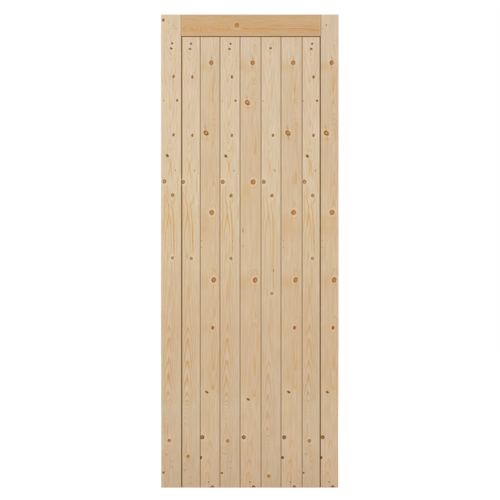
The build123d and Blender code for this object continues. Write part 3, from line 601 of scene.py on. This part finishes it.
# Makes one piece's timber. middle, start and turn place it, so that X runs across and Z along the grain
def timberMaterial(timberName, pieceName, piece):
    timber = timbers[timberName]
    material, tree = newMaterial(timberName + "_" + pieceName)
    add = partial(addNode, tree)
    coordinates = add("ShaderNodeTexCoord")
    turn = math.radians(piece.get("turn", 0.0))
    origin = Vector((piece["middle"], faceDepth, piece.get("start", 0.0)))
    cosTurn, sinTurn = math.cos(turn), math.sin(turn)
    shift = (-cosTurn * origin.x - sinTurn * origin.z, -origin.y, sinTurn * origin.x - cosTurn * origin.z)
    place = add("ShaderNodeMapping", {
        "Vector": coordinates["Object"], "Location": shift, "Rotation": (0, turn, 0), "Scale": (1000,) * 3,
    })["Vector"]
    rawAcross, rawDepth, rawAlong = add(splitNode, {0: place})
    # Boards cut from the same length of timber differ by where their figure starts
    along = rawAlong
    if "stretch" in piece:
        share = add(mathNode, {0: along, 1: leafHeight}, operation="DIVIDE")[0]
        slides = [(z / leafHeight, (0.5 + slide / slideReach / 2,) * 3 + (1,))
                  for z, slide in piece["stretch"]]
        slide = fillRamp(add(rampNode, {0: share}), slides, "EASE")[0]
        along = add(mathNode, {0: slide, 1: 2 * slideReach, 2: along}, operation="MULTIPLY_ADD")[0]
        along = add(mathNode, {0: along, 1: slideReach}, operation="SUBTRACT")[0]
    along = add(mathNode, {0: along, 1: piece.get("lift", 0.0)}, operation="ADD")[0]
    across = add(mathNode, {0: rawAcross, 1: piece.get("aside", 0.0)}, operation="ADD")[0]
    onFigure = add(joinNode, {0: across, 1: rawDepth, 2: along})[0]
    blush = 0.0
    if "blush" in timber:
        rows = [(z / timber["figureLength"], (level, level, level, 1)) for z, level in timber["blush"]]
        share = add(mathNode, {0: along, 1: timber["figureLength"]}, operation="DIVIDE")[0]
        blush = fillRamp(add(rampNode, {0: share}), rows)[0]
        oneSide = add(rangeNode, span("blush", across), **smooth)[0]
        blush = add(mathNode, {0: blush, 1: oneSide}, operation="MULTIPLY")[0]
    knotPlace, tones, swell = onFigure, (0, 0, 0), 0.0
    nearest = tail = knotShape["noKnot"]
    for knotName, (x, z, radius, rim, centre, lean, length) in timber["knots"].items():
        if knotName in piece.get("without", ()):
            continue
        knotPlace, nearest, tones, swell, tailHere = add("ShaderNodeGroup", {
            "Place": knotPlace, "Nearest so far": nearest, "Tones so far": tones, "Tail so far": tail,
            "Swell so far": swell, "Centre": (x, 0, z), "Lean": (0, math.radians(lean), 0),
            "Radii": (radius, knotShape["depthReach"], radius * length), "Push": knotShape["push"] * radius,
            "Swell": knotShape["swell"] * radius,
            "Tones": (rim, centre, knotHalos.get(knotName, knotShape["halo"])),
        }, node_tree=knotTree)
        if knotName in timber.get("tailed", ()):
            tail = tailHere
    straight, depth, pushed = add(splitNode, {0: knotPlace})
    figure = add("ShaderNodeGroup", {
        "Across": across, "Along": along, "Pushed along": pushed,
    }, node_tree=figureTrees[timberName])
    share = add(mathNode, {0: rawAlong, 1: timber["figureLength"]}, operation="DIVIDE")[0]
    # Drift: partly the timber's own tone, partly painted shade of the light falling off down the leaf
    drift = fillRamp(add(rampNode, {0: share}), [(part, (*tone, 1)) for part, *tone in timber["drift"]])[0]
    # Past each edge of the face: a strip of painted highlight, then painted shade in the V, or the painted
    # shade of an open gap
    shades = {"light": 0.0, "groove": 0.0, "gap": 0.0}
    onFace = add(mathNode, {0: rawDepth, 1: faceReach}, operation="LESS_THAN")[0]
    for side, kind, reach, *above in piece.get("edges", ()):
        way, edge = edgeWays[side]
        here = onFace
        if above:
            here = add(mathNode, {0: rawAlong, 1: above[0]}, operation="GREATER_THAN")[0]
            here = add(mathNode, {0: here, 1: onFace}, operation="MULTIPLY")[0]
        inset = {0: rawAcross if edge == "half" else rawAlong, 1: way, 2: piece[edge]}
        inset = add(mathNode, inset, operation="MULTIPLY_ADD")[0]
        for name, fade in (("light", "light"), (kind, "shade")):
            far, near, most = edgeFades[fade]
            share = add(rangeNode, {0: inset, 1: reach + far, 2: reach + near, 4: most}, **smooth)[0]
            share = add(mathNode, {0: share, 1: here}, operation="MULTIPLY")[0]
            shades[name] = add(mathNode, {0: shades[name], 1: share}, operation="MAXIMUM")[0]
    groove = add(mathNode, {0: shades["groove"], 1: grooveShare}, operation="MULTIPLY")[0]
    endGrain = {0: coordinates["Normal"], 1: (-sinTurn, 0, cosTurn)}
    endGrain = add(vectorNode, endGrain, operation="DOT_PRODUCT")["Value"]
    endGrain = add(mathNode, {0: endGrain}, operation="ABSOLUTE")[0]
    endGrain = add(rangeNode, span("endGrain", endGrain))[0]
    surface = add("ShaderNodeGroup", {
        "Board place": onFigure, "Across": straight, "Depth": depth, "Swell": swell,
        **{output.name: output for output in figure},
        "Knot distance": nearest, "Knot tones": tones, "Knot tail": tail, "Edge light": shades["light"],
        "Groove shade": groove, "Gap shade": shades["gap"], "End grain": endGrain,
        "Early": hexColor(timber["early"]), "Late": hexColor(timber["late"]),
        "Streak": hexColor(timber["streak"]), "Rim": hexColor(timber["rim"]),
        "Dark rim": hexColor(timber["darkRim"]), "Drift": drift, "Blush": blush, "Seed": piece["seed"],
        "Line reach": timber["lineReach"], "Late width": timber["lateWidth"],
        "Streak share": timber["streakShare"], "Line share": piece.get("lineShare", timber["lineShare"]),
    }, node_tree=woodTree)
    bump = add("ShaderNodeBump", {
        "Strength": surfaceFinish["bump"], "Distance": surfaceFinish["bumpDepth"],
        "Height": surface["Height"],
    })["Normal"]
    shader = add(shaderNode, {
        "Base Color": surface["Color"], "Roughness": surface["Roughness"], "Normal": bump,
        "Specular IOR Level": surfaceFinish["specular"],
    })
    add("ShaderNodeOutputMaterial", {"Surface": shader[0]})
    return material


def paint(nodeName, material):
    slots = nodes[nodeName].data.materials
    slots.clear()
    slots.append(material)


# Edges of the face: (side, kind, how far it reaches in from the line between two pieces in mm, where it
# starts). The shade sits deeper on the board that the light leaves
# Each edge lays painted shade with a strip of painted highlight beside it: at the V joints, in the gaps
# beside the stiles, under the rail and along the rail's seams with the stiles
veeEven = {"low": ("low", "groove", 2.3), "high": ("high", "groove", 2.3)}
veeRight = {"low": ("low", "groove", 3.5), "high": ("high", "groove", 1.1)}
gapBoard = {"low": ("low", "gap", 6.0), "high": ("high", "gap", 5.6)}
underRail = ("end", "gap", 5.4)
inStile = ("gap", 0.4)
railFoot = 1940.0  # mm up, where the boards end and the rail begins
seam = ("groove", 2.6, railFoot)
railRun = 600.0  # mm between the stiles, for the rail, the ledges and the braces
hingeSide = -300.0  # mm, where that run starts on X

# Face timber, piece by piece. middle = centre on X, aside and lift = where it sits on its figure, in mm
faceTimber = {
    "left_stile": {
        "timber": "planed_whitewood", "middle": -338.0, "half": 43.0,
        "edges": [("high", *inStile), ("high", *seam)]},
    "board_1": {
        "timber": "planed_whitewood", "middle": -253.75, "half": 41.25, "aside": 3.5, "lift": 2,
        "edges": [gapBoard["low"], veeEven["high"], underRail],
        "without": ("upperLeft", "shoulderRight", "footLeft", "crown", "fork"),
        "stretch": [(0, 66), (175, 66), (345, 0), (2032, 0)]},
    "board_2": {
        "timber": "planed_redwood", "middle": -170.5, "half": 42.0,
        "edges": [veeEven["low"], veeRight["high"], underRail]},
    "board_3": {
        "timber": "planed_whitewood", "middle": -85.0, "half": 43.5, "aside": 2.2, "lift": 2,
        "edges": [veeRight["low"], veeEven["high"], underRail]},
    "board_4": {
        "timber": "planed_redwood", "middle": 3.25, "half": 44.75, "aside": -4.0,
        "edges": [veeEven["low"], veeRight["high"], underRail],
        "without": ("small", "edge"),
        "stretch": [(0, 0), (260, 0), (330, 31), (440, 31), (560, 0), (1010, 0), (1250, -131), (1690, -131),
                    (1790, 0), (2032, 0)]},
    "board_5": {
        "timber": "planed_whitewood", "middle": 90.75, "half": 42.75, "aside": 2.0, "lift": 2,
        "edges": [veeRight["low"], veeRight["high"], underRail], "lineShare": 0.7,
        "without": ("twinUpper", "highRight", "shoulderRight", "upperLeft", "footLeft"),
        "stretch": [(0, 151), (860, 151), (1141, 0), (2032, 0)]},
    "board_6": {
        "timber": "planed_redwood", "middle": 179.0, "half": 45.5, "aside": -2.2,
        "edges": [veeRight["low"], veeRight["high"], underRail]},
    "board_7": {
        "timber": "planed_whitewood", "middle": 264.75, "half": 40.25, "aside": 1.5, "lift": 2,
        "edges": [veeRight["low"], gapBoard["high"], underRail]},
    "right_stile": {
        "timber": "planed_redwood", "middle": 343.0, "half": 38.0, "aside": -3.5,
        "edges": [("low", *inStile), ("low", *seam)]},
    "top_rail": {
        "timber": "planed_heartwood", "middle": hingeSide, "start": 1986.0, "turn": -90, "half": 46.0,
        "startAt": -5.0, "endAt": 605.0,
        "edges": [("high", "gap", -0.6), ("start", "groove", 1.8), ("end", "groove", 1.8)]},
}
for seed, (nodeName, piece) in enumerate(faceTimber.items(), 1):
    piece = {"seed": float(seed), "endAt": railFoot, **piece}
    paint(nodeName, timberMaterial(piece["timber"], nodeName, piece))

# Backing timber: ledges run across, braces rise by their own height over the same run
braceRise = {"lower": 660.0, "upper": 900.0}
backTimber = {
    "middle_ledge": {"middle": hingeSide, "start": 945.0, "turn": -90, "seed": 21.0},
    "bottom_ledge": {"middle": hingeSide, "start": 95.0, "turn": -90, "seed": 22.0, "lift": 420},
    "lower_brace": {"middle": -295.0, "start": 190.0, "seed": 23.0, "lift": 60,
                    "turn": -math.degrees(math.atan2(railRun, braceRise["lower"]))},
    "upper_brace": {"middle": -295.0, "start": 1040.0, "seed": 24.0, "lift": 150,
                    "turn": -math.degrees(math.atan2(railRun, braceRise["upper"]))},
}
for nodeName, piece in backTimber.items():
    paint(nodeName, timberMaterial("sawn_redwood", nodeName, piece))
wedgeTimber = timberMaterial("sawn_redwood", "wedges", {"middle": 0.0, "turn": -90, "seed": 31.0})
for nodeName in nodes:
    if "wedge" in nodeName:
        paint(nodeName, wedgeTimber)
print("timber done")

# Screws: steel wire, cold headed and zinc plated, so a soft grey metal with a faint straw tint
screwFinish = {"plate": "#C4C6C3", "tint": "#BDB79F", "roughness": (0.28, 0.46), "grit": 0.0012}  # grit in m
screwMaterial, tree = newMaterial("zinc_plated_steel_screws")
coordinates = addNode(tree, "ShaderNodeTexCoord")
cloud = {"Vector": coordinates["Object"], "Scale": 1 / screwFinish["grit"] / 2, "Detail": 3.0}
cloud = addNode(tree, noiseNode, cloud)["Fac"]
plate = {0: cloud, 6: hexColor(screwFinish["plate"]), 7: hexColor(screwFinish["tint"])}
plate = addNode(tree, mixNode, plate, **colored)[2]
smoothest, roughest = screwFinish["roughness"]
shine = addNode(tree, rangeNode, {0: cloud, 1: 0.3, 2: 0.7, 3: smoothest, 4: roughest})[0]
shader = addNode(tree, shaderNode, {"Base Color": plate, "Metallic": 1.0, "Roughness": shine})
addNode(tree, "ShaderNodeOutputMaterial", {"Surface": shader[0]})
for nodeName in nodes:
    if nodeName.endswith("_screws"):
        paint(nodeName, screwMaterial)
print("screws done")


# 1 for what the camera sees by itself, in a mirror or through glass
def seenDirectly(tree):
    rays = addNode(tree, "ShaderNodeLightPath")
    seen = 0.0
    for name in ("Is Camera Ray", "Is Glossy Ray", "Is Transmission Ray"):
        seen = addNode(tree, mathNode, {0: seen, 1: rays[name]}, operation="MAXIMUM")[0]
    return seen


# Stage: a pale floor that keeps the shadow, and a white surround
stage = {"side": 30.0, "lift": -0.0005, "color": "#E9E8E6", "glow": 0.62, "surround": 0.62}
half = stage["side"] / 2
corners = [(x, y, stage["lift"]) for x, y in ((-half, -half), (half, -half), (half, half), (-half, half))]
floorMesh = bpy.data.meshes.new("floor")
floorMesh.from_pydata(corners, [], [(0, 1, 2, 3)])
floor = bpy.data.objects.new("floor", floorMesh)
linkObject = bpy.context.scene.collection.objects.link
linkObject(floor)
floorMaterial, tree = newMaterial("pale_floor")
plain = addNode(tree, "ShaderNodeBsdfDiffuse", {"Color": hexColor(stage["color"])})[0]
glow = addNode(tree, "ShaderNodeEmission", {"Color": white, "Strength": stage["glow"]})[0]
both = addNode(tree, "ShaderNodeAddShader", {0: plain, 1: glow})[0]
shown = addNode(tree, "ShaderNodeMixShader", {0: seenDirectly(tree), 1: plain, 2: both})[0]
addNode(tree, "ShaderNodeOutputMaterial", {"Surface": shown})
floorMesh.materials.append(floorMaterial)

world = bpy.data.worlds.new("surround")
bpy.context.scene.world = world
world.use_nodes = True
tree = world.node_tree
tree.nodes.clear()
strength = addNode(tree, rangeNode, {0: seenDirectly(tree), 3: stage["surround"], 4: 1.0})[0]
sky = addNode(tree, "ShaderNodeBackground", {"Color": white, "Strength": strength})[0]
addNode(tree, "ShaderNodeOutputWorld", {"Surface": sky})

# Soft boxes: name: (place, side in m, watts)
lamps = {
    "key": ((-3.2, -4.6, 3.6), 2.4, 130),
    "fill": ((3.8, -5.2, 1.6), 3.0, 35),
    "rear": ((2.6, 4.4, 3.0), 2.6, 90),
}
aim = Vector((0, 0, 1.05))
for name, (place, side, watts) in lamps.items():
    light = bpy.data.lights.new(name, "AREA")
    light.shape = "SQUARE"
    light.size = side
    light.energy = watts
    lamp = bpy.data.objects.new(name, light)
    lamp.location = place
    lamp.rotation_euler = (aim - Vector(place)).to_track_quat("-Z", "Y").to_euler()
    linkObject(lamp)

# Camera: straight on, a long lens, at the height of the leaf's middle
view = {"place": (0.0009, -11.952, 1.0207), "lens": 200.0, "sensor": 36.0, "reach": 100.0}
camera = bpy.data.cameras.new("camera")
camera.lens = view["lens"]
camera.sensor_width = view["sensor"]
camera.sensor_fit = "HORIZONTAL"
camera.clip_end = view["reach"]
cameraObject = bpy.data.objects.new("camera", camera)
cameraObject.location = view["place"]
cameraObject.rotation_euler = (math.radians(90), 0, 0)
linkObject(cameraObject)
bpy.context.scene.camera = cameraObject
bpy.context.scene.view_settings.view_transform = "Standard"
print("stage, lamps and camera done")
